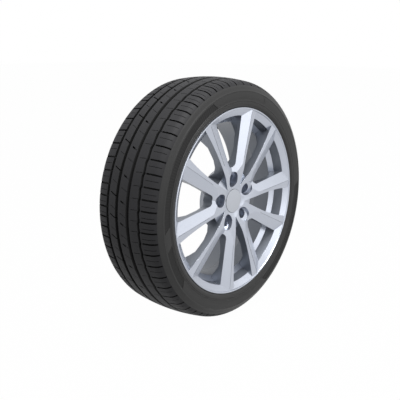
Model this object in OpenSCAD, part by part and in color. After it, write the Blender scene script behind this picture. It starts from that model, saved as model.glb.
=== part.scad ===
// A car tyre on its ten-spoke cast alloy wheel, as it is bolted to a hub.
// Millimetres. The origin is the wheel's centre, the spin axis is Y, the face
// that shows on the car looks along -Y, and +Z is up.
// The pieces are drawn in the axle's own frame, where z is the height towards
// the outboard face, and axle_frame() lays that frame along -Y at the end.

/* [Tyre] */
// Height of the tread's crown above the bead seats
tyre_height = 91.5; // [85:0.5:101]
// How much the crown falls, 100 mm either side of the middle
crown_drop = 10.3; // [6:0.1:13]
// Half width of the tread, to where the shoulder turns down
tread_half = 81; // [76:0.5:84]
// Half width of the tyre at its widest
section_half = 107; // [104:0.5:112]
// Height of the tyre's widest place above the bead seats
widest_height = 50; // [45:0.5:55]
// Thickness of the tread and the belts under it
tread_wall = 15.5; // [13:0.5:18]
// Thickness of the sidewall at the widest place
side_wall = 7.5; // [5:0.5:9]
// Gap between the bead and the rim that it seats on
seat_gap = 0.2; // [0.1:0.05:0.4]

/* [Tread pattern] */
// Depth of the four grooves that run round
groove_depth = 8; // [6:0.5:9]
// Width of the inner shoulder groove
groove_in_w = 8; // [6:0.5:10]
// Width of the two middle grooves
groove_mid_w = 9; // [7:0.5:11]
// Width of the outer shoulder groove
groove_out_w = 5.8; // [4:0.2:8]
// Distance from the middle to the inner shoulder groove
groove_in_at = 54.2; // [52:0.2:56]
// Distance from the middle to the middle groove on the inner side
groove_mid_in_at = 19.3; // [18:0.2:21]
// Distance from the middle to the middle groove on the outer side
groove_mid_out_at = 17.9; // [17:0.2:21]
// Distance from the middle to the outer shoulder groove
groove_out_at = 52.8; // [52:0.2:56]
// Number of shoulder slots on each side
pitches = 64; // [56:2:72]
// How far the pitch length wanders, as a share of one pitch
pitch_wander = 0.35; // [0:0.05:0.5]
// Width of a shoulder slot
shoulder_slot_w = 2.6; // [2:0.1:3.4]
// Depth of a shoulder slot
shoulder_slot_depth = 6; // [4:0.5:7]
// Width of a diagonal slot
diagonal_slot_w = 2.4; // [1.8:0.1:3.2]
// Depth of a diagonal slot
diagonal_slot_depth = 6; // [4:0.5:7]
// Lean of the diagonal slots from straight across
diagonal_lean = 23; // [15:1:30]
// Width of a notch in the middle rib
notch_w = 3.6; // [2.5:0.1:4.5]
// How far round a notch lies from its diagonal slot, in degrees
notch_lag = 2.75; // [0:0.25:5]

/* [Rim] */
// Radius of the bead seats
seat_r = 231; // [230:0.1:232]
// Height of the flanges above the bead seats
flange_height = 17.3; // [16.5:0.1:18]
// Half of the width between the flanges
rim_half = 95.25; // [92:0.25:98]
// Thickness of the flanges and their lips
flange_t = 9; // [8.4:0.2:10]
// Depth of the well under the bead seats
well_depth = 18; // [16:0.5:20]
// Thickness of the barrel's wall
barrel_wall = 5.5; // [5:0.25:6.5]
// Height of the well's outer end
well_top = 55; // [52:0.5:58]
// Height of the well's inner end
well_bottom = 10; // [4:1:14]

/* [Wheel face] */
// Angle of the first bolt from +X, seen from outboard
first_bolt = 26.1; // [0:0.1:71]
// Distance from the flanges' edge in to where the windows begin
window_inset = 21.8; // [20.3:0.1:24.3]
// Depth of that cone at the windows, under the flange's face
window_depth = 11.75; // [10.5:0.25:13]
// Distance from the flanges' edge in to where a spoke's crease meets the lip
crease_inset = 5.3; // [4.3:0.1:7.3]
// Depth of the crease at the lip, under the flange's face
crease_end_depth = 1.45; // [0.9:0.05:2.2]
// Depth of the crease where it is nearest to the hub
crease_start_depth = 4.05; // [3:0.05:5]
// Angle of the crease from the bolt's radius
crease_a = 20.9; // [20:0.1:22]
// Depth of the valley between the two spokes of a pair
valley_depth = 15.75; // [14:0.25:18]
// Depth of a spoke's outer edge at the rim
edge_depth = 3.75; // [3:0.05:5]
// Half angle of the window between the spokes of a pair
pair_window_a = 18.2; // [17:0.1:19]
// Radius of that window's round end
pair_window_nose_r = 15.3; // [12:0.1:17]
// Distance from the axis to that round end's centre
pair_window_nose_at = 108.3; // [106:0.5:112]
// Distance from the axis to the point of the window between two pairs
gap_window_tip = 44.3; // [43:0.1:47]
// Half width of the window between two pairs, at the rim
gap_window_half = 41.5; // [40:0.1:43]
// Half width of that window where it leaves the hub
gap_window_waist = 20.5; // [19:0.1:22]
// Radius of the hub's wall, where the windows between pairs begin
hub_wall_r = 80; // [78:0.5:84]
// Depth of the sloping floor at the hub's wall
floor_depth = 21.25; // [18:0.25:23]
// Thickness of a spoke from its crease to its back
spoke_t = 23; // [20:0.5:26]

/* [Hub] */
// Radius of the bore that sits on the hub's spigot
hub_bore_r = 33.3; // [28:0.05:34]
// Length of that bore
hub_bore_l = 18; // [12:0.5:22]
// Height of the mounting face above the rim's middle plane
offset_h = 38; // [35:0.5:42]
// Radius of the mounting pad
pad_r = 81; // [76:0.5:84]
// Radius of the circle that the bolts lie on
bolt_circle_r = 56; // [54:0.05:57.2]
// Radius of a bolt hole
bolt_hole_r = 7.5; // [6.5:0.1:8]
// Radius of the pocket round a bolt's head
bolt_pocket_r = 16.5; // [15:0.1:17.2]
// Height of the bottom of that pocket above the mounting face
bolt_seat_h = 18; // [14:0.5:22]
// How far the scoop beside the pocket reaches out past it
pocket_stretch = 8; // [4:0.5:10]
// Depth of that scoop at the pocket, under the cap's face
scoop_depth = 3; // [1:0.5:6]
// Radius of the lightening pockets in the pad
pad_pocket_r = 11; // [8:0.5:12]
// Depth of the lightening pockets
pad_pocket_depth = 16; // [8:1:20]

/* [Centre cap] */
// Radius of the cap's disc
cap_r = 31.8; // [30:0.1:32.5]
// Depth of the cap's face under the flange's face
cap_depth = 16.25; // [15:0.25:17.5]
// Thickness of the cap's disc
cap_t = 3; // [2.5:0.25:4]
// Radius of the hole that the cap's fingers hold in
cap_hole_r = 28; // [27:0.1:28.6]
// Number of fingers
cap_fingers = 8; // [6:1:10]
// Length of the fingers
cap_finger_l = 15; // [12:0.5:17]
// Thickness of a finger
cap_finger_t = 2; // [1.6:0.1:2.4]
// Radius of the wire of the ring that spreads the fingers
ring_wire_r = 1; // [0.8:0.1:1.2]
// Gap between the cap and the wheel
cap_gap = 0.3; // [0.2:0.05:0.4]

/* [Valve] */
// Angle of the valve from +X, seen from outboard
valve_a = 108.5; // [107:0.5:109]
// Radius of the valve hole
valve_hole_r = 5.75; // [5.6:0.05:5.9]
// Length of the rubber body outside the rim
valve_body_l = 11; // [9:0.5:12]
// Radius of the brass stem
valve_stem_r = 3.8; // [3.6:0.05:4]
// Length of the brass stem past the rubber
valve_stem_l = 8; // [7:0.5:9]
// Radius of the valve's core
core_r = 2.1; // [1.8:0.1:2.4]
// Length of the valve's core
core_l = 14; // [10:0.5:16]
// Radius of the dust cap
valve_cap_r = 4.9; // [4.8:0.05:5.2]

/* [Hidden] */
$fn = 64;
round_fn = 180;
far = 300;
// Number of spoke pairs, which is also the number of bolts
pairs = 5;
tyre_r = seat_r + tyre_height;
section_r = seat_r + widest_height;
flange_r = seat_r + flange_height;
well_r = seat_r - well_depth;
window_r = flange_r - window_inset;
crease_end_r = flange_r - crease_inset;
flange_h = rim_half + flange_t;
// Heights above the rim's middle plane
window_h = flange_h - window_depth;
crease_end_h = flange_h - crease_end_depth;
crease_start_h = flange_h - crease_start_depth;
valley_h = flange_h - valley_depth;
edge_h = flange_h - edge_depth;
floor_h = flange_h - floor_depth;
cap_h = flange_h - cap_depth;
back_h = crease_start_h - spoke_t;
sector = 360 / pairs;
half_sector = sector / 2;

function polar(r, a, h) = [r * cos(a), r * sin(a), h];
function crown_at(h) = tyre_r - crown_drop * pow(h / 100, 2);
function bezier(p, t) =
    pow(1 - t, 3) * p[0] + 3 * pow(1 - t, 2) * t * p[1] + 3 * (1 - t) * t * t * p[2] + pow(t, 3) * p[3];
function curve(p, steps) = [for (i = [1 : steps]) bezier(p, i / steps)];
function flip(points) = [for (i = [len(points) - 1 : -1 : 0]) [points[i][0], -points[i][1]]];
// Angle of pitch i of n, so that the pitches grow and shrink a little round the tyre
function pitch_angle(i, n) = 360 / n * i + 360 / pitches * pitch_wander * sin(360 / n * i * 5);

module axle_frame() rotate([90, 0, 0]) children();
module turned(points) rotate_extrude($fn = round_fn) polygon(points);

// Everything under the plane through three points, down to a flat bottom
module under_plane(a, b, c) {
    normal = cross(b - a, c - a);
    n = normal[2] < 0 ? -normal : normal;
    translate(a) rotate([0, acos(n[2] / norm(n)), atan2(n[1], n[0])])
        translate([-2 * far, -2 * far, -far]) cube([4 * far, 4 * far, far]);
}

// Tyre

shoulder = curve([[crown_at(tread_half), tread_half], [crown_at(tread_half) - 3, tread_half + 15],
    [section_r + 18, section_half - 1], [section_r, section_half]], 6);
lower_side = [[section_r - 16, section_half - 1.2], [section_r - 20, section_half],
    [flange_r + 7.5, section_half], [flange_r + 4, section_half - 1.6], [flange_r + 1.3, flange_h - 1]];
bead = [[flange_r + seat_gap, rim_half + 6], [flange_r - 2.2 + seat_gap, rim_half + 2.2 - seat_gap],
    [flange_r - 7, rim_half - seat_gap], [seat_r + 4, rim_half - seat_gap],
    [seat_r + seat_gap, rim_half - 4 - seat_gap], [seat_r - 1.6 + seat_gap, rim_half - 20],
    [seat_r + 1, rim_half - 22]];
lining = [[seat_r + 8, rim_half - 21], [flange_r + 4, rim_half - 9],
    [section_r - 14, section_half - side_wall - 3], [section_r, section_half - side_wall],
    [section_r + 14, section_half - side_wall - 2], [crown_at(tread_half) - tread_wall + 3, tread_half + 5],
    [crown_at(tread_half * 0.8) - tread_wall, tread_half * 0.8],
    [crown_at(tread_half * 0.4) - tread_wall, tread_half * 0.4]];
crown = [for (i = [0 : 6]) let (h = tread_half * i / 6) [crown_at(h), h]];

// The closed outline of the tyre's section, from the lining round the tread and back
module tyre_section()
    polygon(concat(flip(lining), flip(bead), flip(lower_side), flip(shoulder), flip(crown),
        [for (i = [1 : 6]) crown[i]], shoulder, lower_side, bead, lining));

module groove_section(at, w) {
    floor_r = crown_at(at) - groove_depth;
    polygon([[floor_r, at - w * 0.36], [floor_r, at + w * 0.36], [tyre_r + 2, at + w / 2 + 0.4],
        [tyre_r + 2, at - w / 2 - 0.4]]);
}

// A diagonal slot across the tread, from height h0 to h1
module tread_slot(h0, h1, w) {
    mid = (h0 + h1) / 2;
    floor_r = crown_at(h0) - diagonal_slot_depth;
    translate([0, 0, mid]) rotate([90 - diagonal_lean, 0, 0]) linear_extrude(w, center = true)
        polygon([[floor_r, h0 - mid], [crown_at(h1) - diagonal_slot_depth, h1 - mid],
            [tyre_r + 3, h1 - mid], [tyre_r + 3, h0 - mid]]);
}

// A slot that starts on the tread and runs out over the shoulder; side is 1 outboard, -1 inboard
module shoulder_slot(start, side) {
    floor_r = crown_at(tread_half) - shoulder_slot_depth;
    mirror([0, 0, side < 0 ? 1 : 0]) rotate([90, 0, 0]) linear_extrude(shoulder_slot_w, center = true)
        polygon([[crown_at(start) - shoulder_slot_depth * 0.6, start], [floor_r, tread_half],
            [section_r + 19, section_half - 1], [section_r + 21, section_half + 8],
            [tyre_r + 3, section_half + 8], [tyre_r + 3, start]]);
}

module tyre() color([0.16, 0.16, 0.17]) axle_frame() difference() {
    rotate_extrude($fn = round_fn) difference() {
        tyre_section();
        groove_section(-groove_in_at, groove_in_w);
        groove_section(-groove_mid_in_at, groove_mid_w);
        groove_section(groove_mid_out_at, groove_mid_w);
        groove_section(groove_out_at, groove_out_w);
    }
    for (i = [0 : pitches - 1]) rotate(pitch_angle(i, pitches)) {
        shoulder_slot(groove_out_at + 8, 1);
        rotate(90 / pitches) shoulder_slot(groove_in_at + 1, -1);
    }
    for (i = [0 : pitches / 2 - 1]) rotate(pitch_angle(i, pitches / 2)) {
        tread_slot(-groove_in_at + 11, -groove_mid_in_at - 2, diagonal_slot_w);
        rotate(notch_lag) tread_slot(-6, 4, notch_w);
    }
}

// Alloy wheel

barrel_inside = well_r - barrel_wall;
// The slope between the well and the outer seat: its inside runs from foot to head, and its
// outside, towards the tyre, is a wall's thickness behind
slope_foot = [barrel_inside, well_top + 2.5];
slope_head = [window_r - 4, well_top + 10.5];
slope_along = (slope_head - slope_foot) / norm(slope_head - slope_foot);
slope_behind = slope_foot + (barrel_wall + 0.25) * [slope_along[1], -slope_along[0]];
function slope_outside(r) = slope_behind + slope_along * (r - slope_behind[0]) / slope_along[0];
lip = [[window_r, window_h], [crease_end_r, crease_end_h - 1.2], [crease_end_r + 0.8, flange_h - 0.7],
    [flange_r - 2.6, flange_h], [flange_r - 0.7, flange_h - 0.6], [flange_r, flange_h - 2]];
flange_curl = [[flange_r, rim_half + 6], [flange_r - 2.2, rim_half + 2.2], [flange_r - 7, rim_half],
    [seat_r + 4, rim_half], [seat_r, rim_half - 4], [seat_r - 1.6, rim_half - 20],
    [seat_r - 0.6, rim_half - 24], slope_outside(seat_r - 3)];
well = [slope_outside(well_r), [well_r, well_bottom], [seat_r - 6, well_bottom - 24]];
inner_lip = [[flange_r, -flange_h + 1.4], [flange_r - 1.4, -flange_h], [flange_r - 5, -flange_h],
    [flange_r - 9, -flange_h + 3], [seat_r - 2, -flange_h + 3.6], [seat_r - 5.5, -rim_half],
    [seat_r - 7.5, -rim_half + 20], [seat_r - 6 - barrel_wall, well_bottom - 24 - 3],
    [barrel_inside, well_bottom - 2], slope_foot, slope_head];

module rim() turned(concat(lip, flange_curl, well, flip(flange_curl), inner_lip));

// The corners that the facets of one spoke pass through, beside the bolt's radius
window_corner = polar(window_r - 1.3, 13.4, window_h - 0.7);
crease_end = polar(crease_end_r, crease_a, crease_end_h);
crease_start = polar(110, crease_a, crease_start_h);
edge_end = polar(window_r + 3.5, half_sector - 10.4, edge_h);
valley_end = [pair_window_nose_at - pair_window_nose_r, 0, valley_h];
pocket_top = [bolt_circle_r + 3, 0, cap_h + 2];
ridge_start = polar(gap_window_tip + 1.7, half_sector, cap_h + 3.4);
ridge_end = polar(hub_wall_r + 3, 25, cap_h + 10);

// The metal of half a pair, from the bolt's radius to the middle of the gap beside it
module half_pair() intersection() {
    linear_extrude(far) polygon([[0, 0], [far, 0], [far * cos(half_sector), far * sin(half_sector)]]);
    under_plane(window_corner, crease_end, valley_end);
    under_plane(crease_end, crease_start, edge_end);
    under_plane(pocket_top, ridge_start, ridge_end);
}

// The dish that the spokes are cut from, between its face and its back
module dish() turned([[0, offset_h], [pad_r, offset_h], [pad_r + 3, offset_h + 7],
    [pad_r + 14, back_h - 15], [pad_r + 34, back_h - 4], [window_r - 86.5, back_h + 1],
    [window_r - 46.5, back_h], [window_r - 31.5, back_h - 9], [window_r - 21.5, back_h - 17],
    [window_r - 5.5, slope_head[1] - 3.5], [window_r + 0.5, window_h - 15], [window_r + 1, window_h - 3],
    [seat_r + 2.5, rim_half + 1], [crease_end_r + 1, crease_end_h - 3], [crease_end_r + 1, crease_end_h + 3],
    [hub_wall_r + 45, crease_start_h + 2.5], [hub_wall_r + 20, cap_h + 12], [hub_wall_r + 3, cap_h + 10],
    [bolt_circle_r + 4, cap_h + 6], [gap_window_tip + 1.7, cap_h + 3.4], [cap_r + 8, cap_h + 1],
    [cap_r + 1, cap_h - 1], [0, cap_h - 1]]);

// Outline of the window between the two spokes of a pair
module pair_window() {
    nose_r = pair_window_nose_r;
    tangent = [pair_window_nose_at - nose_r * sin(pair_window_a), nose_r * cos(pair_window_a)];
    end = crease_end_r + 12;
    end_half = tangent[1] + (end - tangent[0]) * tan(pair_window_a);
    translate([pair_window_nose_at, 0]) circle(nose_r, $fn = 48);
    polygon([tangent, [end, end_half], [end, -end_half], [tangent[0], -tangent[1]]]);
}

// Outline of the window between two pairs: two arcs that meet in a point near the cap.
// Each arc passes through the tip, the waist and the rim.
waist_at = [108, gap_window_waist];
rim_at = [window_r - 0.2, gap_window_half];
tip_at = [gap_window_tip, 0];
function circle_centre(a, b, c) =
    let (d = 2 * (a[0] * (b[1] - c[1]) + b[0] * (c[1] - a[1]) + c[0] * (a[1] - b[1])),
        aa = a * a, bb = b * b, cc = c * c)
    [(aa * (b[1] - c[1]) + bb * (c[1] - a[1]) + cc * (a[1] - b[1])) / d,
        (aa * (c[0] - b[0]) + bb * (a[0] - c[0]) + cc * (b[0] - a[0])) / d];
gap_arc_centre = circle_centre(tip_at, waist_at, rim_at);
gap_arc_r = norm(gap_arc_centre - tip_at);

module gap_window() intersection() {
    translate(gap_arc_centre) circle(gap_arc_r, $fn = 360);
    translate([gap_arc_centre[0], -gap_arc_centre[1]]) circle(gap_arc_r, $fn = 360);
    translate([0, -far / 2]) square([crease_end_r + 12, far]);
}

// The sloping floor that the hub has inside the window between two pairs
module hub_floor() {
    tip = [gap_window_tip, 0, cap_h + 3];
    end = [hub_wall_r, 0, floor_h];
    side = [hub_wall_r, 10, floor_h];
    intersection() {
        linear_extrude(far / 2) gap_window();
        difference() {
            translate([0, -far / 2, 0]) cube([hub_wall_r + 1, far, far / 2]);
            under_plane(tip, end, side);
        }
    }
}

module bolt_hole() translate([bolt_circle_r, 0, 0]) {
    seat = offset_h + bolt_seat_h;
    mouth_r = bolt_pocket_r + 0.7;
    scoop_start = [bolt_pocket_r - 1, 0, cap_h - scoop_depth];
    scoop_end = [mouth_r + pocket_stretch, 0, cap_h + 2.5];
    cylinder(r = bolt_hole_r, h = far);
    translate([0, 0, seat - 6]) cylinder(r1 = bolt_hole_r, r2 = bolt_hole_r + 4, h = 6);
    translate([0, 0, seat]) cylinder(r = bolt_pocket_r, h = far);
    difference() {
        translate([0, 0, seat + 14]) linear_extrude(far) {
            circle(mouth_r);
            translate([pocket_stretch, 0]) circle(mouth_r);
            translate([0, -mouth_r]) square([pocket_stretch, 2 * mouth_r]);
        }
        under_plane(scoop_start, scoop_start + [0, 10, 0], scoop_end);
    }
}

cap_seat_h = cap_h - cap_t - 1;
module hub_bores() {
    translate([0, 0, offset_h - 1]) cylinder(r = hub_bore_r, h = hub_bore_l + 1, $fn = 96);
    cylinder(r = cap_hole_r, h = far, $fn = 96);
    translate([0, 0, cap_seat_h - cap_finger_l - 0.5]) cylinder(r = cap_hole_r + 2, h = 6.5, $fn = 96);
    translate([0, 0, cap_seat_h]) cylinder(r = cap_r + cap_gap, h = far, $fn = 96);
}

// Places a piece on the valve's axis, which starts on the slope above the well, square to it
valve_at = slope_foot + 0.62 * (slope_head - slope_foot);
valve_tilt = -atan2(slope_along[1], slope_along[0]);
module at_valve() rotate(valve_a) translate([valve_at[0], 0, valve_at[1]]) rotate([0, valve_tilt, 0])
    children();

module alloy_wheel() color([0.72, 0.74, 0.78]) axle_frame() rotate(first_bolt) difference() {
    union() {
        rim();
        difference() {
            intersection() {
                dish();
                union() for (k = [0 : pairs - 1]) rotate(k * sector) {
                    half_pair();
                    mirror([0, 1, 0]) half_pair();
                }
            }
            for (k = [0 : pairs - 1]) rotate(k * sector) {
                linear_extrude(far) pair_window();
                rotate(half_sector) {
                    linear_extrude(far) difference() {
                        gap_window();
                        circle(hub_wall_r, $fn = 96);
                    }
                    hub_floor();
                }
            }
        }
    }
    for (k = [0 : pairs - 1]) rotate(k * sector) {
        bolt_hole();
        rotate(half_sector) translate([bolt_circle_r, 0, offset_h - 1])
            cylinder(r = pad_pocket_r, h = pad_pocket_depth + 1);
    }
    hub_bores();
    rotate(-first_bolt) at_valve() translate([0, 0, -15]) cylinder(r = valve_hole_r, h = 30);
}

// Centre cap and the ring behind it

finger_r = cap_hole_r - cap_gap;
finger_end = cap_seat_h - cap_finger_l;
module centre_cap() color([0.72, 0.74, 0.78]) axle_frame() difference() {
    union() {
        turned([[0, cap_h - cap_t], [cap_r, cap_h - cap_t], [cap_r, cap_h - 0.8],
            [cap_r - 1, cap_h - 0.2], [0, cap_h]]);
        turned([[finger_r - cap_finger_t, finger_end], [finger_r, finger_end],
            [finger_r + 1.4, finger_end + 2], [finger_r, finger_end + 3.5],
            [finger_r, cap_h - cap_t + 0.5], [finger_r - cap_finger_t, cap_h - cap_t + 0.5]]);
    }
    for (k = [0 : cap_fingers - 1]) rotate(k * 360 / cap_fingers)
        translate([finger_r - 5, -3, finger_end - 1]) cube([10, 6, cap_finger_l]);
}

module cap_ring() color([0.5, 0.5, 0.52]) axle_frame()
    translate([0, 0, finger_end + 3]) rotate_extrude($fn = round_fn)
        translate([finger_r - cap_finger_t - ring_wire_r - 0.1, 0]) circle(ring_wire_r, $fn = 24);

// Valve: a rubber body through the rim, a brass stem in it, the core and the dust cap

// Heights on the valve's axis: the foot's two faces in the tyre, and the stem's and the cap's tips
foot_top = -barrel_wall - 0.75;
foot_bottom = foot_top - 3.5;
stem_top = valve_body_l + valve_stem_l;
neck_r = valve_hole_r - 0.2;

module valve_body() color([0.12, 0.12, 0.12]) axle_frame() at_valve() difference() {
    turned([[0, foot_bottom], [7, foot_bottom], [7, foot_top], [neck_r, foot_top], [neck_r, 0.4],
        [neck_r + 0.6, 0.4], [neck_r + 0.6, 3], [valve_stem_r + 2, valve_body_l], [0, valve_body_l]]);
    translate([0, 0, foot_bottom - 1]) cylinder(r = valve_stem_r + 0.05, h = far / 3);
}

module valve_stem() color([0.78, 0.62, 0.3]) axle_frame() at_valve() difference() {
    translate([0, 0, foot_bottom + 0.5]) cylinder(r = valve_stem_r, h = stem_top - foot_bottom - 0.5);
    translate([0, 0, foot_bottom - 1]) cylinder(r = core_r + 0.1, h = far / 3);
}

module valve_core() color([0.82, 0.7, 0.4]) axle_frame() at_valve() translate([0, 0, stem_top - core_l]) {
    cylinder(r = core_r, h = core_l - 2);
    cylinder(r = core_r * 0.4, h = core_l - 0.4);
}

module valve_cap() color([0.1, 0.1, 0.1]) axle_frame() at_valve() difference() {
    turned([[0, valve_body_l + 0.4], [valve_cap_r, valve_body_l + 0.4], [valve_cap_r, stem_top + 0.4],
        [valve_cap_r - 0.8, stem_top + 1.8], [0, stem_top + 1.8]]);
    translate([0, 0, valve_body_l]) cylinder(r = valve_stem_r + 0.1, h = valve_stem_l + 0.4);
}

tyre();
alloy_wheel();
centre_cap();
cap_ring();
valve_body();
valve_stem();
valve_core();
valve_cap();
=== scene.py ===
# A car tyre on its ten-spoke cast alloy wheel.
# World units are metres. The spin axis is Y, the outboard face looks along -Y and Z is up.
# Radii and heights below are in millimetres; a height is measured along the axle, outboard positive.
import math

import bpy
from mathutils import Matrix, Vector


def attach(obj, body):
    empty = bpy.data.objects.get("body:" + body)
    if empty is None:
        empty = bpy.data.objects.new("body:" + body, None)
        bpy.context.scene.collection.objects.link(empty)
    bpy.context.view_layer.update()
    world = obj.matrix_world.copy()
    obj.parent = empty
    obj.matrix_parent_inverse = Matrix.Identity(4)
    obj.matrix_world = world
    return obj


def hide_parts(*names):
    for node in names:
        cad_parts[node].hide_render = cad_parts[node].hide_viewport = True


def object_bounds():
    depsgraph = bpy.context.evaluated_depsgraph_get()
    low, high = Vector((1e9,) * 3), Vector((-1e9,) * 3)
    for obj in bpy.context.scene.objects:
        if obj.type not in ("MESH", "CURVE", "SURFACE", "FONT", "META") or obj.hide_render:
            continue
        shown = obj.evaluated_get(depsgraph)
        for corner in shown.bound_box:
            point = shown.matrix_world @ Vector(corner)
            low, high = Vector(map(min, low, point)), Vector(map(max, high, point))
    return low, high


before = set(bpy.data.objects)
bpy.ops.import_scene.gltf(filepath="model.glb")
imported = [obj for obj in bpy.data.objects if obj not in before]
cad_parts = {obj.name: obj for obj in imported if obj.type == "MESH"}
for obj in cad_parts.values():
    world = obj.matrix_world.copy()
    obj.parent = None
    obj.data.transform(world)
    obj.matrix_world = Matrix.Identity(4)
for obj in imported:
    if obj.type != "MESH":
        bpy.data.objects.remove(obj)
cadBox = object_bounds()
mm = 0.001
outboardTurn = Matrix.Rotation(math.pi / 2, 4, "X")  # local z becomes -Y


def linearOf(hexColour):
    # sRGB hex to linear RGBA
    channels = [int(hexColour[i:i + 2], 16) / 255 for i in (1, 3, 5)]
    return [c / 12.92 if c <= 0.04045 else ((c + 0.055) / 1.055) ** 2.4 for c in channels] + [1.0]


def addNode(tree, kind, settings=None, links=None):
    # settings has attributes of the node and sockets, links has sockets; a socket goes by name or number
    node = tree.nodes.new(kind)
    for key, value in (settings or {}).items():
        if isinstance(key, str) and hasattr(node, key):
            setattr(node, key, value)
        else:
            node.inputs[key].default_value = value
    for key, source in (links or {}).items():
        tree.links.new(source, node.inputs[key])
    return node


def newMaterial(name):
    material = bpy.data.materials.new(name)
    material.use_nodes = True
    tree = material.node_tree
    tree.nodes.clear()
    return material, tree


def deselectAll():
    if bpy.context.object and bpy.context.object.mode != "OBJECT":
        bpy.ops.object.mode_set(mode="OBJECT")
    bpy.ops.object.select_all(action="DESELECT")


def makeActive(piece):
    deselectAll()
    piece.select_set(True)
    bpy.context.view_layer.objects.active = piece


def applyModifiers(piece):
    makeActive(piece)
    for modifier in list(piece.modifiers):
        bpy.ops.object.modifier_apply(modifier=modifier.name)


def finishPiece(piece, material, smoothAngle=30):
    makeActive(piece)
    bpy.ops.object.transform_apply(location=True, rotation=True, scale=True)
    bpy.ops.object.shade_smooth_by_angle(angle=math.radians(smoothAngle))
    piece.data.materials.clear()
    piece.data.materials.append(material)
    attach(piece, "root")
    return piece


def mergedCopy(nodeName, pieceName, weld=0.00002, flatAngle=0.6):
    # a CAD node's mesh is loose triangles, so the copy is welded and its flat faces become one again
    piece = bpy.data.objects.new(pieceName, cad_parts[nodeName].data.copy())
    bpy.context.scene.collection.objects.link(piece)
    makeActive(piece)
    bpy.ops.mesh.customdata_custom_splitnormals_clear()
    bpy.ops.object.mode_set(mode="EDIT")
    bpy.ops.mesh.select_all(action="SELECT")
    bpy.ops.mesh.remove_doubles(threshold=weld)
    bpy.ops.mesh.dissolve_limited(angle_limit=math.radians(flatAngle))
    bpy.ops.object.mode_set(mode="OBJECT")
    return piece


def turnedPiece(name, profile, steps, weld=0.000005):
    # profile: (radius, height) in mm, a closed loop; extruded point by point, then spun round the axle
    bpy.ops.mesh.primitive_plane_add(size=mm, location=(profile[0][0] * mm, 0, profile[0][1] * mm))
    piece = bpy.context.object
    piece.name = name
    bpy.ops.object.transform_apply(location=True)
    bpy.ops.object.mode_set(mode="EDIT")
    bpy.ops.mesh.select_all(action="SELECT")
    bpy.ops.mesh.merge(type="CENTER")
    for before, after in zip(profile, profile[1:]):
        step = ((after[0] - before[0]) * mm, 0, (after[1] - before[1]) * mm)
        bpy.ops.mesh.extrude_region_move(TRANSFORM_OT_translate={"value": step})
    bpy.ops.mesh.select_all(action="SELECT")
    bpy.ops.mesh.spin(steps=steps, angle=2 * math.pi, center=(0, 0, 0), axis=(0, 0, 1))
    bpy.ops.mesh.select_all(action="SELECT")
    bpy.ops.mesh.remove_doubles(threshold=weld)
    bpy.ops.mesh.normals_make_consistent(inside=False)
    bpy.ops.object.mode_set(mode="OBJECT")
    return piece


def turnOutboard(piece):
    piece.data.transform(outboardTurn)
    piece.data.update()
    return piece


# The photograph's camera: place in metres, angles in degrees, lens and sensor in millimetres
cameraLook = {"place": (-1.36619, -1.13112, 0.40446), "azimuth": -49.648, "elevation": 13.207,
              "roll": 0.428, "lens": 59.713, "sensor": 36, "clipStart": 0.05, "clipEnd": 50}


def makeCamera(look):
    azimuth, elevation, roll = (math.radians(look[k]) for k in ("azimuth", "elevation", "roll"))
    back = Vector((math.sin(azimuth) * math.cos(elevation), -math.cos(azimuth) * math.cos(elevation),
                   math.sin(elevation)))
    right = Vector((math.cos(azimuth), math.sin(azimuth), 0))
    up = back.cross(right)
    rightTurned = right * math.cos(roll) + up * math.sin(roll)
    upTurned = up * math.cos(roll) - right * math.sin(roll)
    bpy.ops.object.camera_add()
    camera = bpy.context.object
    camera.name = "photoCamera"
    camera.matrix_world = Matrix((
        (rightTurned.x, upTurned.x, back.x, look["place"][0]),
        (rightTurned.y, upTurned.y, back.y, look["place"][1]),
        (rightTurned.z, upTurned.z, back.z, look["place"][2]),
        (0, 0, 0, 1)))
    camera.data.sensor_width, camera.data.lens = look["sensor"], look["lens"]
    camera.data.clip_start, camera.data.clip_end = look["clipStart"], look["clipEnd"]
    bpy.context.scene.camera = camera


deselectAll()
makeCamera(cameraLook)
print("camera placed")


# Studio: a pale floor and three soft lamps, one high up, one before the wheel's face, a small one at its right
studio = {"floorColour": "#b4b4b4", "worldGrey": "#e6e7ea", "worldStrength": 0.22, "floorWhite": 0.99,
          # the floor's side and its gap under the tyre, in metres
          "floorSize": 40, "floorGap": 0.0004,
          # each lamp: place, size and power; all point at the wheel's centre
          "lamps": {"top": ((-0.7, -0.9, 3.0), 1.6, 150), "front": ((0.45, -3.2, 0.1), 1.8, 14),
                    "right": ((2.0, -2.3, 0.65), 0.8, 2.2)}}


def seesBackground(tree):
    # 1 for rays from the camera, from gloss and through glass
    path = addNode(tree, "ShaderNodeLightPath")
    either = addNode(tree, "ShaderNodeMath", {"operation": "MAXIMUM"},
                     {0: path.outputs["Is Glossy Ray"], 1: path.outputs["Is Transmission Ray"]})
    return addNode(tree, "ShaderNodeMath", {"operation": "MAXIMUM"},
                   {0: path.outputs["Is Camera Ray"], 1: either.outputs[0]}).outputs[0]


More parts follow.
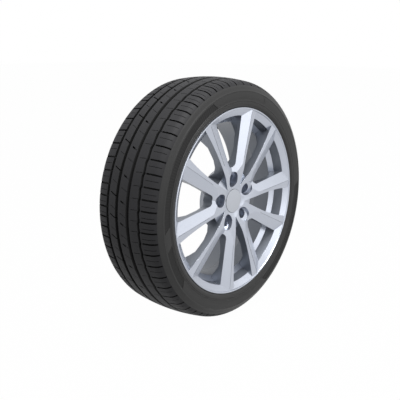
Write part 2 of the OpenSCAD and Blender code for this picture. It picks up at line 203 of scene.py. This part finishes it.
def makeStudio(look):
    world = bpy.data.worlds.new("paleStudio")
    bpy.context.scene.world = world
    world.use_nodes = True
    tree = world.node_tree
    tree.nodes.clear()
    lit = addNode(tree, "ShaderNodeBackground", {"Color": linearOf(look["worldGrey"]),
                                                "Strength": look["worldStrength"]})
    white = addNode(tree, "ShaderNodeBackground", {"Color": (1, 1, 1, 1), "Strength": 1.0})
    mix = addNode(tree, "ShaderNodeMixShader", links={0: seesBackground(tree), 1: lit.outputs[0],
                                                     2: white.outputs[0]})
    addNode(tree, "ShaderNodeOutputWorld", links={"Surface": mix.outputs[0]})

    material, tree = newMaterial("whitePaperFloorMatt")  # pale paper: soft, no gloss
    diffuse = addNode(tree, "ShaderNodeBsdfDiffuse", {"Color": linearOf(look["floorColour"])})
    glow = addNode(tree, "ShaderNodeEmission", {"Color": (1, 1, 1, 1), "Strength": 1.0})
    share = addNode(tree, "ShaderNodeMath", {"operation": "MULTIPLY", 1: look["floorWhite"]},
                    {0: seesBackground(tree)})
    mix = addNode(tree, "ShaderNodeMixShader", links={0: share.outputs[0], 1: diffuse.outputs[0],
                                                     2: glow.outputs[0]})
    addNode(tree, "ShaderNodeOutputMaterial", links={"Surface": mix.outputs[0]})
    bpy.ops.mesh.primitive_plane_add(size=look["floorSize"], location=(0, 0, cadBox[0].z - look["floorGap"]))
    floor = bpy.context.object
    floor.name = "studioFloor"
    floor.data.materials.append(material)
    for name, (place, size, power) in look["lamps"].items():
        bpy.ops.object.light_add(type="AREA", location=place)
        lamp = bpy.context.object
        lamp.name = name + "Lamp"
        lamp.data.energy, lamp.data.size = power, size
        lamp.rotation_mode = "QUATERNION"
        lamp.rotation_quaternion = Vector(place).to_track_quat("Z", "Y")


makeStudio(studio)
print("studio lit")


# Tyre: the section of the carcass, its rings and the slots and fine cuts of the tread
tyre = {"treadRadius": 322.4, "crownDrop": 10.3, "treadHalf": 81, "wide": 107, "wideRadius": 281,
        "steps": 384, "smoothAngle": 32,
        # the shoulder's curve: steps, and its two handles as (radius, height) from either end
        "shoulderSteps": 14, "shoulderHandles": ((-3, 15), (18, -1)),
        # the sidewall's foot with its thin raised ring, from the shoulder in, and how far the shoulder is sunk
        "foot": ((291.4, 105.6), (290.6, 106.4), (289.4, 106.5), (288.6, 105.9), (284, 106.3), (278, 106.4),
                 (270, 106.0), (266.6, 105.9), (265.8, 106.7), (264.6, 106.8), (263.8, 106.1),
                 (262.6, 106.0), (261.6, 106.9), (256.4, 106.9), (254.4, 106.2), (252.3, 104.9),
                 (249.6, 103.2)),
        "footRadius": 292, "shoulderSink": 0.25,
        "bead": ((248.5, 101.25), (246.3, 97.25), (241.3, 95.05), (235, 95.05), (231.2, 91.05),
                 (229.6, 75.25), (232, 73.25)),
        "lining": ((239, 74.25), (252.3, 86.25), (267, 96.5), (281, 99.5), (295, 97.5)),
        # thickness under the tread's edge, how far past it that is taken, thickness under the tread at two heights
        "edgeThick": 12.5, "edgePast": 5, "treadThick": 15.5, "treadRows": (64.8, 32.4),
        # middle of each groove, outboard positive, and its width
        "grooves": ((-54.2, 8), (-19.3, 9), (17.9, 9), (52.8, 5.8)),
        # a groove's depth, its eased edge, half its floor as a share of its width, its foot's fillet and flare
        "grooveDepth": 8, "grooveEdge": 0.9, "grooveFloor": 0.36, "grooveFillet": 0.8, "grooveFlare": 0.1,
        # heights of the rows between the grooves, and how near a groove they may come
        "rows": (-76, 80, 8), "rowGap": 3,
        # pitches round the tread; their length wanders by a share of one, in so many waves
        "pitches": 64, "wander": 0.35, "waves": 5,
        "slotWidth": 4.0, "slotDepth": 6, "diagonalWidth": 3.0, "notchWidth": 4.2,
        # degrees from a diagonal slot to its notch, and on to the cut beside the notch
        "notchLag": 2.75, "notchCutLag": 0.7,
        "lean": 23, "cutWidth": 1.1, "cutDepth": 5, "shoulderCutDepth": 3.5, "ribCutLean": -3.6,
        # the cutters' tops, and how a shoulder block's floor falls to its outer end
        "cutterTop": 326, "cutterLift": 3, "floorShare": 0.6, "floorFall": 8, "slotEnd": 98.5, "cutEnd": 95,
        # the sawtooth of the outboard groove: half its height, its short flank's and long flank's share of a pitch
        "zigzag": 1.3, "toothShort": 0.18, "toothLong": 0.82, "toothReach": 4.4, "toothDeep": 9,
        # panels moulded into the outboard sidewall: start angle, end angle, slant of the ends in degrees
        "panels": ((110, 183, 3), (193, 216, 3), (295, 360, 3)), "panelInner": 268, "panelOuter": 286,
        "panelSink": 1.5, "panelStep": 2.5,
        # lines round the plain panels: inner and outer radius, start, end and slant
        "lines": ((271.4, 272.6, 68, 110, 0), (271.4, 272.6, 218, 293, 0), (273, 290, 67, 67.4, 3)),
        "lineSink": 1.15, "blockLift": 2,
        # where the rubber changes: the sidewall's height and radius; where the grooves' painted shade starts:
        # their height, depth and skin
        "sidewallFrom": 84, "sidewallRadius": 304, "grooveTo": 99, "grooveUnder": 13, "grooveSkin": 0.35}

# dark and light tone of each rubber; the groove's near-black tones are painted shade for the sunk faces
rubbers = {"tread": ("#1e1e20", "#29292b"), "groove": ("#060606", "#0a0a0a"),
           "sidewall": ("#242424", "#2c2c2c"), "panel": ("#0f0f0f", "#151515")}


def crownAt(height):
    return tyre["treadRadius"] - tyre["crownDrop"] * (height / 100) ** 2


def bezierRun(points, steps):
    run = []
    for i in range(1, steps + 1):
        t = i / steps
        weights = ((1 - t) ** 3, 3 * (1 - t) ** 2 * t, 3 * (1 - t) * t * t, t ** 3)
        run.append(tuple(sum(w * p[k] for w, p in zip(weights, points)) for k in (0, 1)))
    return run


def pitchAngle(i, count):
    base = 360 / count * i
    return base + 360 / tyre["pitches"] * tyre["wander"] * math.sin(math.radians(base * tyre["waves"]))


def shoulderRun():
    # from the tread's edge to the widest place
    start, end = (crownAt(tyre["treadHalf"]), tyre["treadHalf"]), (tyre["wideRadius"], tyre["wide"])
    first, last = tyre["shoulderHandles"]
    return bezierRun([start, (start[0] + first[0], start[1] + first[1]), (end[0] + last[0], end[1] + last[1]),
                      end], tyre["shoulderSteps"])


def tyreProfile():
    half, edge = tyre["treadHalf"], tyre["grooveEdge"]
    fillet, flare = tyre["grooveFillet"], tyre["grooveFlare"]
    sidewall = [(r, h - tyre["shoulderSink"]) for r, h in shoulderRun() if r > tyre["footRadius"]]
    lining = list(tyre["lining"]) + [(crownAt(half) - tyre["edgeThick"], half + tyre["edgePast"])]
    lining += [(crownAt(h) - tyre["treadThick"], h) for h in tyre["treadRows"]]
    tread = []
    for at, width in tyre["grooves"]:
        low, floor = crownAt(at) - tyre["grooveDepth"], width * tyre["grooveFloor"]
        tread += [(crownAt(at - width / 2 - edge), at - width / 2 - edge), (crownAt(at) - edge, at - width / 2),
                  (low + fillet, at - floor - flare), (low, at - floor + edge),
                  (low, at + floor - edge), (low + fillet, at + floor + flare),
                  (crownAt(at) - edge, at + width / 2), (crownAt(at + width / 2 + edge), at + width / 2 + edge)]
    rows = [h for h in range(*tyre["rows"])
            if all(abs(h - at) > width / 2 + tyre["rowGap"] for at, width in tyre["grooves"])]
    tread = sorted(tread + [(crownAt(h), h) for h in rows], key=lambda p: p[1])
    outer = sidewall + list(tyre["foot"]) + list(tyre["bead"]) + lining
    mirrored = [(r, -h) for r, h in reversed(outer)]
    return mirrored + [(crownAt(half), -half)] + tread + [(crownAt(half), half)] + outer + [mirrored[0]]


def blockData(name, corners):
    # corners: eight (r, y, h), the low end first; the block's faces look outwards
    bpy.ops.mesh.primitive_cube_add(size=1)
    block = bpy.context.object
    block.name = name
    order = sorted(range(8), key=lambda i: tuple(round(block.data.vertices[i].co[k], 3) for k in (2, 0, 1)))
    for index, corner in zip(order, corners):
        block.data.vertices[index].co = Vector(corner) * mm
    makeActive(block)
    bpy.ops.object.mode_set(mode="EDIT")
    bpy.ops.mesh.select_all(action="SELECT")
    bpy.ops.mesh.normals_make_consistent(inside=False)
    bpy.ops.object.mode_set(mode="OBJECT")
    return block


def slotBlock(name, low, high, width, lean, depth):
    # a slot across a rib; it leans by so many degrees, and the angle grows towards outboard
    mid, slope = (low + high) / 2, math.tan(math.radians(lean))
    corners = []
    for h in (low, high):
        for r in (crownAt(h) - depth, tyre["treadRadius"] + tyre["cutterLift"]):
            for y in (-width / 2, width / 2):
                corners.append((r, y + slope * (h - mid), h))
    return blockData(name, corners)


def shoulderBlock(name, start, last, width, depth):
    # a wedge-ended block over the shoulder, its floor falling away with the tyre's edge
    corners = []
    for h, floor in ((start, crownAt(start) - depth * tyre["floorShare"]),
                     (last, crownAt(tyre["treadHalf"]) - depth - tyre["floorFall"])):
        for r in (floor, tyre["cutterTop"]):
            for y in (-width / 2, width / 2):
                corners.append((r, y, h))
    return blockData(name, corners)


def copyRound(model, angles, mirror=False):
    # copies of one cutter, each with its own mesh, turned round the axle
    made = []
    for angle in angles:
        copied = model.copy()
        copied.data = model.data.copy()
        bpy.context.scene.collection.objects.link(copied)
        if mirror:
            copied.data.transform(Matrix.Scale(-1, 4, (0, 0, 1)))
            copied.data.flip_normals()
        copied.data.transform(Matrix.Rotation(math.radians(angle), 4, "Z"))
        made.append(copied)
    bpy.data.objects.remove(model)
    return made


def joined(parts, name):
    deselectAll()
    for part in parts:
        part.select_set(True)
    bpy.context.view_layer.objects.active = parts[0]
    bpy.ops.object.join()
    bpy.context.object.name = name
    return bpy.context.object


def treadCutters():
    pitches, cut, slot, shallow = tyre["pitches"], tyre["cutWidth"], tyre["slotWidth"], tyre["shoulderCutDepth"]
    lean, lag, deep, slotDeep = tyre["lean"], tyre["notchLag"], tyre["cutDepth"], tyre["slotDepth"]
    whole = [pitchAngle(i, pitches) for i in range(pitches)]
    halfWay = [a + 180 / pitches for a in whole]
    inboard = [a + 90 / pitches for a in whole]
    double = [pitchAngle(i, pitches // 2) for i in range(pitches // 2)]
    between = [a + 360 / pitches for a in double]
    # over the shoulders: name, start, end, width, depth, where the copies stand, and whether inboard
    shoulders = (
        ("outerSlot", 60.8, tyre["slotEnd"], slot, slotDeep, whole, False),
        ("outerCut", 62, tyre["cutEnd"], cut, shallow, halfWay, False),
        ("innerSlot", 55.2, tyre["slotEnd"], slot, slotDeep, inboard, True),
        ("innerCut", 60, tyre["cutEnd"], cut, shallow, [a + 180 / pitches for a in inboard], True))
    # across the ribs: name, low end, high end, width, lean, depth and where the copies stand; cutters must not
    # touch each other, or the boolean takes the whole tyre away
    ribs = (
        ("diagonalSlot", -43.2, -21.3, tyre["diagonalWidth"], lean, slotDeep, double),
        ("diagonalCut", -42, -25, cut, lean, deep, between),
        ("notch", -6, 4.2, tyre["notchWidth"], lean, slotDeep, [a + lag for a in double]),
        ("notchCut", 4.5, 12.6, cut, lean, deep, [a + lag + tyre["notchCutLag"] for a in double]),
        ("middleCut", -8, 12.4, cut, lean, deep, [a + lag for a in between]),
        ("outerRibCut", 29, 48.6, cut, tyre["ribCutLean"], deep, whole),
        ("outerLink", 55, 60.4, cut, 0, deep, whole))
    parts = []
    for name, low, high, width, depth, angles, mirror in shoulders:
        parts += copyRound(shoulderBlock(name, low, high, width, depth), angles, mirror)
    for name, low, high, width, slant, depth, angles in ribs:
        parts += copyRound(slotBlock(name, low, high, width, slant, depth), angles)
    return joined(parts, "treadCutters")


def panelBlock(name, innerR, outerR, start, end, slant, sink, weld=0.000001):
    # an arc-shaped block that sinks a panel or a line into the outboard sidewall; its ends lean by slant degrees
    floor, top = tyre["wide"] - sink, tyre["wide"] + tyre["blockLift"]
    steps = max(2, round((end - start) / tyre["panelStep"]))
    bpy.ops.mesh.primitive_plane_add(size=1)
    block = bpy.context.object
    block.name = name
    for vertex in block.data.vertices:
        r = innerR if vertex.co.x < 0 else outerR
        vertex.co = Vector((r * mm, 0, (floor if vertex.co.y < 0 else top) * mm))
    block.data.transform(Matrix.Rotation(math.radians(start), 4, "Z"))
    makeActive(block)
    bpy.ops.object.mode_set(mode="EDIT")
    bpy.ops.mesh.select_all(action="SELECT")
    bpy.ops.mesh.spin(steps=steps, angle=math.radians(end - start), center=(0, 0, 0), axis=(0, 0, -1))
    bpy.ops.mesh.select_all(action="SELECT")
    bpy.ops.mesh.remove_doubles(threshold=weld)
    bpy.ops.mesh.fill_holes(sides=4)
    bpy.ops.mesh.select_all(action="SELECT")
    bpy.ops.mesh.normals_make_consistent(inside=False)
    bpy.ops.object.mode_set(mode="OBJECT")
    for vertex in block.data.vertices:
        lean = math.radians(slant) * (vertex.co.xy.length / mm - innerR) / (outerR - innerR)
        vertex.co.rotate(Matrix.Rotation(lean, 3, "Z"))
    return block


def sidewallCutters():
    parts = [panelBlock("panel", tyre["panelInner"], tyre["panelOuter"], *run, tyre["panelSink"])
             for run in tyre["panels"]]
    return parts + [panelBlock("line", *run, tyre["lineSink"]) for run in tyre["lines"]]


def cutAway(piece, cutters):
    boolean = piece.modifiers.new("cut", "BOOLEAN")
    boolean.operation, boolean.solver, boolean.object = "DIFFERENCE", "EXACT", cutters
    applyModifiers(piece)
    bpy.data.objects.remove(cutters)


def zigzagGroove(piece):
    # the outboard groove wanders like a saw's teeth, one tooth to each shoulder slot
    at, short = tyre["grooves"][3][0], tyre["toothShort"]
    for vertex in piece.data.vertices:
        x, y, h = (c / mm for c in vertex.co)
        if abs(h - at) < tyre["toothReach"] and math.hypot(x, y) > crownAt(at) - tyre["toothDeep"]:
            turn = math.degrees(math.atan2(y, x)) % 360 / 360 * tyre["pitches"]
            wave = math.sin(math.radians(turn * 360 / tyre["pitches"] * tyre["waves"]))
            phase = (turn - tyre["wander"] * wave) % 1
            tooth = 1 - phase / short * 2 if phase < short else (phase - short) / tyre["toothLong"] * 2 - 1
            vertex.co.z += tooth * tyre["zigzag"] * mm


def treadRubber(name, dark, light):
    # vulcanised tread rubber: dull, near black, with a faint grey bloom and the fine grain of the mould
    material, tree = newMaterial(name)
    place = addNode(tree, "ShaderNodeTexCoord").outputs["Object"]
    # clouds 70 mm across, and a grain of 1 mm
    bloom = addNode(tree, "ShaderNodeTexNoise", {"Scale": 14.0, "Detail": 3.0}, {"Vector": place})
    colour = addNode(tree, "ShaderNodeMix", {"data_type": "RGBA", 6: linearOf(dark), 7: linearOf(light)},
                     {0: bloom.outputs["Fac"]})
    grain = addNode(tree, "ShaderNodeTexNoise", {"Scale": 900.0, "Detail": 2.0}, {"Vector": place})
    bump = addNode(tree, "ShaderNodeBump", {"Strength": 0.25, "Distance": 0.0003},
                   {"Height": grain.outputs["Fac"]})
    rough = addNode(tree, "ShaderNodeMapRange", {"To Min": 0.58, "To Max": 0.72}, {"Value": grain.outputs["Fac"]})
    shader = addNode(tree, "ShaderNodeBsdfPrincipled", {"IOR": 1.5, "Specular IOR Level": 0.25},
                     {"Base Color": colour.outputs[2], "Roughness": rough.outputs[0], "Normal": bump.outputs[0]})
    addNode(tree, "ShaderNodeOutputMaterial", links={"Surface": shader.outputs[0]})
    return material


def sidewallRubber(name, dark, light, ribs, ribApart=1.4):
    # moulded sidewall rubber: smoother than the tread and a little lighter; with ribs, darker, with fine rays
    # ribApart degrees apart, coarser than the real ones so that they show
    material, tree = newMaterial(name)
    place = addNode(tree, "ShaderNodeTexCoord").outputs["Object"]
    bloom = addNode(tree, "ShaderNodeTexNoise", {"Scale": 9.0, "Detail": 3.0}, {"Vector": place})
    colour = addNode(tree, "ShaderNodeMix", {"data_type": "RGBA", 6: linearOf(dark), 7: linearOf(light)},
                     {0: bloom.outputs["Fac"]})
    if ribs:
        apart = addNode(tree, "ShaderNodeSeparateXYZ", links={0: place})
        angle = addNode(tree, "ShaderNodeMath", {"operation": "ARCTAN2"},
                        {0: apart.outputs["Z"], 1: apart.outputs["X"]})
        turns = addNode(tree, "ShaderNodeMath", {"operation": "MULTIPLY", 1: 360 / ribApart},
                        {0: angle.outputs[0]})
        relief = addNode(tree, "ShaderNodeMath", {"operation": "SINE"}, {0: turns.outputs[0]})
        depth, roughness = 0.0006, 0.66
    else:
        relief = addNode(tree, "ShaderNodeTexNoise", {"Scale": 700.0, "Detail": 2.0}, {"Vector": place})
        depth, roughness = 0.0002, 0.5
    bump = addNode(tree, "ShaderNodeBump", {"Strength": 0.3, "Distance": depth}, {"Height": relief.outputs[0]})
    shader = addNode(tree, "ShaderNodeBsdfPrincipled",
                     {"IOR": 1.5, "Roughness": roughness, "Specular IOR Level": 0.35},
                     {"Base Color": colour.outputs[2], "Normal": bump.outputs[0]})
    addNode(tree, "ShaderNodeOutputMaterial", links={"Surface": shader.outputs[0]})
    return material


def makeTyre():
    piece = turnedPiece("roadTyre", tyreProfile(), tyre["steps"])
    zigzagGroove(piece)
    cutAway(piece, treadCutters())
    for cutter in sidewallCutters():
        cutAway(piece, cutter)
    turnOutboard(piece)
    piece = finishPiece(piece, treadRubber("vulcanisedTreadRubber", *rubbers["tread"]),
                        tyre["smoothAngle"])
    for material in (sidewallRubber("mouldedSidewallRubber", *rubbers["sidewall"], False),
                     sidewallRubber("ribbedSidewallPanel", *rubbers["panel"], True),
                     # the last, near-black, is painted shade for the faces sunk in grooves, slots and cuts
                     treadRubber("grooveRubberPaintedShade", *rubbers["groove"])):
        piece.data.materials.append(material)
    edges = sorted((h, r) for r, h in shoulderRun())
    panelFloor, panelSlack = tyre["wide"] - tyre["panelSink"], 0.2
    for face in piece.data.polygons:
        x, y, z = (c / mm for c in face.center)
        r, h = math.hypot(x, z), abs(y)
        if h > tyre["sidewallFrom"] and r < tyre["sidewallRadius"]:
            face.material_index = 1
        if abs(-y - panelFloor) < panelSlack and tyre["panelInner"] < r < tyre["panelOuter"]:
            face.material_index = 2
        # painted shade: faces sunk below the tread's skin, in grooves, slots and cuts, take the near-black rubber
        skin = crownAt(h) if h < tyre["treadHalf"] else next((edge[1] for edge in edges if edge[0] > h), 0)
        if h < tyre["grooveTo"] and skin - tyre["grooveUnder"] < r < skin - tyre["grooveSkin"]:
            face.material_index = 3
    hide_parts("tyre")


makeTyre()
print("tyre made")


# Alloy wheel: the casting with its edges eased; silver lacquer on its face, darker copies of it inside and behind
# as painted shade
wheel = {"silver": "#b9bec9", "metallic": 0.9, "roughness": 0.32, "coat": 0.25, "coatRoughness": 0.2,
         "flakeScale": 1400.0,
         # edges sharper than the angle are eased, inside the radius and above the height
         "edgeRadius": 0.9, "edgeSteps": 2, "edgeAngle": 24, "easedInside": 234, "backHeight": 40,
         "smoothAngle": 9,
         # the backs are shaded smooth over edges below this angle
         "backAngle": 32, "backSlope": 0.2,
         # the full silver ends at the lip's walls, where painted shade starts; bolt pockets keep the full silver;
         # the barrel gets the darkest painted shade
         "lipRadius": 236, "wallSlope": -0.2, "lipFrom": 242.9, "pocketAt": 56, "pocketR": 27, "pocketFrom": 56,
         "barrelRadius": 188, "barrelTo": 56,
         # the line along each spoke's crease, cut and darkened as painted shade: angle from a pair's middle, two
         # ends (radius, height), width, depth
         "pairs": 5, "firstPair": 26.1, "creases": 20.9, "creaseRun": ((118, 100.36), (239, 102.72)),
         "creaseWidth": 1.1, "creaseDepth": 0.5, "creaseLift": 4, "creaseReach": 0.6}


def silverLacquer(name, look):
    # silver lacquer sprayed over a casting: fine metal flake under a clear coat, with a slight orange peel
    material, tree = newMaterial(name)
    place = addNode(tree, "ShaderNodeTexCoord").outputs["Object"]
    flake = addNode(tree, "ShaderNodeTexVoronoi", {"Scale": look["flakeScale"]}, {"Vector": place})
    tone = addNode(tree, "ShaderNodeMapRange", {"To Min": 0.93, "To Max": 1.05},
                   {"Value": flake.outputs["Color"]})
    colour = addNode(tree, "ShaderNodeMix", {"data_type": "RGBA", "blend_type": "MULTIPLY", 0: 1.0,
                                            6: linearOf(look["silver"])}, {7: tone.outputs[0]})
    peel = addNode(tree, "ShaderNodeTexNoise", {"Scale": 260.0, "Detail": 1.0}, {"Vector": place})  # 4 mm peel
    bump = addNode(tree, "ShaderNodeBump", {"Strength": 0.08, "Distance": 0.0003},
                   {"Height": peel.outputs["Fac"]})
    shader = addNode(tree, "ShaderNodeBsdfPrincipled",
                     {"Metallic": look["metallic"], "Roughness": look["roughness"],
                      "Coat Weight": look["coat"], "Coat Roughness": look["coatRoughness"]},
                     {"Base Color": colour.outputs[2], "Normal": bump.outputs[0]})
    addNode(tree, "ShaderNodeOutputMaterial", links={"Surface": shader.outputs[0]})
    return material


def easedCopy(nodeName, pieceName, look):
    # only the sharp edges inside a radius and above a height are rounded; the lips keep theirs
    piece = mergedCopy(nodeName, pieceName)
    mesh, sides = piece.data, {}
    for face in mesh.polygons:
        for key in face.edge_keys:
            sides.setdefault(key, []).append(face.normal)
    weights = mesh.attributes.new("bevel_weight_edge", "FLOAT", "EDGE")
    for edge in mesh.edges:
        normals = sides.get(edge.key, [])
        ends = [mesh.vertices[v].co / mm for v in edge.vertices]
        inside = all(math.hypot(end.x, end.z) < look["easedInside"] and -end.y > look["backHeight"]
                     for end in ends)
        if inside and len(normals) == 2 and normals[0].angle(normals[1]) > math.radians(look["edgeAngle"]):
            weights.data[edge.index].value = 1
    bevel = piece.modifiers.new("easedEdges", "BEVEL")
    bevel.width, bevel.segments = look["edgeRadius"] * mm, look["edgeSteps"]
    bevel.limit_method, bevel.use_clamp_overlap = "WEIGHT", True
    applyModifiers(piece)
    return piece


def creaseCutters(look):
    # thin blocks that cut a fine groove where a spoke's broad and narrow facets meet; its faces later get painted
    # shade
    (lowR, lowH), (highR, highH) = look["creaseRun"]
    half, deep, parts = look["creaseWidth"] / 2, look["creaseDepth"], []
    for pair in range(look["pairs"]):
        for side in (-1, 1):
            turn = look["firstPair"] + 360 / look["pairs"] * pair + side * look["creases"]
            corners = [(r, y, h + lift) for lift in (-deep, look["creaseLift"])
                       for r, h in ((lowR, lowH), (highR, highH)) for y in (-half, half)]
            block = blockData("creaseCut", corners)
            block.data.transform(Matrix.Rotation(math.radians(turn), 4, "Z"))
            parts.append(block)
    return turnOutboard(joined(parts, "creaseCutters"))


def onCrease(x, z, r):
    # true in the line along a crease, whose faces get painted shade
    (lowR, _), (highR, _) = wheel["creaseRun"]
    turn = (math.degrees(math.atan2(z, x)) - wheel["firstPair"]) % (360 / wheel["pairs"])
    aside = min(abs(turn - wheel["creases"]), abs(turn - 360 / wheel["pairs"] + wheel["creases"]))
    return lowR < r < highR and math.radians(aside) * r < wheel["creaseWidth"] * wheel["creaseReach"]


def inPocket(x, z):
    # a bolt's pocket stands in the middle of each pair
    at, turns = wheel["pocketAt"], [wheel["firstPair"] + 360 / wheel["pairs"] * i for i in range(wheel["pairs"])]
    return any(math.hypot(x - at * math.cos(math.radians(t)), z - at * math.sin(math.radians(t)))
               < wheel["pocketR"] for t in turns)


def softenBacks(piece, look):
    # the backs of the spokes are cast round, so their shallow edges are shaded smooth
    mesh, sides = piece.data, {}
    for face in mesh.polygons:
        for key in face.edge_keys:
            sides.setdefault(key, []).append(face)
    sharp = mesh.attributes["sharp_edge"].data
    for edge in mesh.edges:
        faces = sides.get(edge.key, [])
        if len(faces) == 2:
            apart = math.degrees(faces[0].normal.angle(faces[1].normal))
            if apart < look["backAngle"] and all(face.normal.y > look["backSlope"] for face in faces):
                sharp[edge.index].value = False


def turnedNormals(piece, innerR):
    # the lips are turned round the axle: each corner's normal is its face's own, swung to the corner's angle
    mesh = piece.data
    normals = [corner.vector.copy() for corner in mesh.corner_normals]
    for face in mesh.polygons:
        if all(mesh.vertices[v].co.xz.length / mm > innerR for v in face.vertices):
            outward = Vector((face.center.x, face.center.z)).normalized()
            radial = outward.x * face.normal.x + outward.y * face.normal.z
            for loop in face.loop_indices:
                at = mesh.vertices[mesh.loops[loop].vertex_index].co.xz.normalized()
                normals[loop] = Vector((radial * at.x, face.normal.y, radial * at.y)).normalized()
    mesh.normals_split_custom_set(normals)


wheelPiece = easedCopy("alloy_wheel", "castWheel", wheel)
cutAway(wheelPiece, creaseCutters(wheel))
wheelPiece = finishPiece(wheelPiece, silverLacquer("silverLacquerOnCastAlloy", wheel),
                         wheel["smoothAngle"])
# darker copies of the silver lacquer, used as painted shade
paintedShadeLook = dict(wheel, silver="#8b9099", roughness=0.42, coat=0.1)
wheelPiece.data.materials.append(silverLacquer("silverLacquerPaintedShade", paintedShadeLook))
wheelPiece.data.materials.append(silverLacquer("silverLacquerPaintedDeepShade", dict(paintedShadeLook, silver="#6f737a")))
# painted shade: walls, backs and crease lines take the darker lacquer, the barrel the darkest; bolt pockets keep
# the full silver
for face in wheelPiece.data.polygons:
    x, y, z = (c / mm for c in face.center)
    r = math.hypot(x, z)
    wall = r < wheel["lipRadius"] and face.normal.y > wheel["wallSlope"]
    if r > wheel["barrelRadius"] and -y < wheel["barrelTo"]:
        face.material_index = 2
    elif -y < wheel["backHeight"] or wall or onCrease(x, z, r):
        face.material_index = 0 if inPocket(x, z) and -y > wheel["pocketFrom"] else 1
softenBacks(wheelPiece, wheel)
turnedNormals(wheelPiece, wheel["lipFrom"])
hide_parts("alloy_wheel")
print("wheel made")


# Centre cap: lacquered plastic, its rim eased; its edge gets a dark copy of the lacquer as a painted shadow line
cap = dict(wheel, silver="#bec2ca", metallic=0.55, roughness=0.34, flakeScale=1600.0, edgeRadius=0.4,
           edgeAngle=30, easedInside=40, backHeight=80, smoothAngle=30, faceSlope=-0.9)
capPaintedShadowLook = dict(paintedShadeLook, silver="#55585f", flakeScale=1600.0)
capPiece = finishPiece(easedCopy("centre_cap", "hubCap", cap), silverLacquer("silverLacquerOnAbs", cap),
                       cap["smoothAngle"])
capPiece.data.materials.append(silverLacquer("capLacquerPaintedShadow", capPaintedShadowLook))
# painted shadow line: the cap's sides take the dark lacquer
for face in capPiece.data.polygons:
    if face.normal.y > cap["faceSlope"]:
        face.material_index = 1
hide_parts("centre_cap")
print("cap made")


# Small pieces that keep their CAD shape
def plainFinish(name, look, grainScale, grainDepth):
    # look: colour, metallic and roughness; the grain is the mark of the tool or the mould
    material, tree = newMaterial(name)
    place = addNode(tree, "ShaderNodeTexCoord").outputs["Object"]
    grain = addNode(tree, "ShaderNodeTexNoise", {"Scale": grainScale, "Detail": 2.0}, {"Vector": place})
    dark = [c * 0.85 for c in linearOf(look["colour"])[:3]] + [1.0]
    colour = addNode(tree, "ShaderNodeMix", {"data_type": "RGBA", 6: dark, 7: linearOf(look["colour"])},
                     {0: grain.outputs["Fac"]})
    bump = addNode(tree, "ShaderNodeBump", {"Strength": 0.2, "Distance": grainDepth},
                   {"Height": grain.outputs["Fac"]})
    shader = addNode(tree, "ShaderNodeBsdfPrincipled",
                     {"Metallic": look["metallic"], "Roughness": look["roughness"]},
                     {"Base Color": colour.outputs[2], "Normal": bump.outputs[0]})
    addNode(tree, "ShaderNodeOutputMaterial", links={"Surface": shader.outputs[0]})
    return material


# CAD node: finish, look and slot
smallPieces = {
    "cap_ring": ("drawnSpringSteel", {"colour": "#8f9196", "metallic": 1.0, "roughness": 0.32}, "ring_steel"),
    "valve_body": ("mouldedValveRubber", {"colour": "#232324", "metallic": 0.0, "roughness": 0.6}, "valve_rubber"),
    "valve_stem": ("turnedBrass", {"colour": "#c19a55", "metallic": 1.0, "roughness": 0.3}, "valve_brass"),
    "valve_core": ("turnedBrassBright", {"colour": "#d0ad68", "metallic": 1.0, "roughness": 0.25}, "valve_brass"),
    "valve_cap": ("mouldedBlackNylon", {"colour": "#1c1c1d", "metallic": 0.0, "roughness": 0.45}, "valve_plastic")}
for nodeName, (finishName, look, slotName) in smallPieces.items():
    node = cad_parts[nodeName]
    node.data.materials.clear()
    node.data.materials.append(plainFinish(finishName, look, 1200.0, 0.0001))
print("small pieces finished")

sceneView = bpy.context.scene.view_settings
sceneView.view_transform = "Standard"
deselectAll()
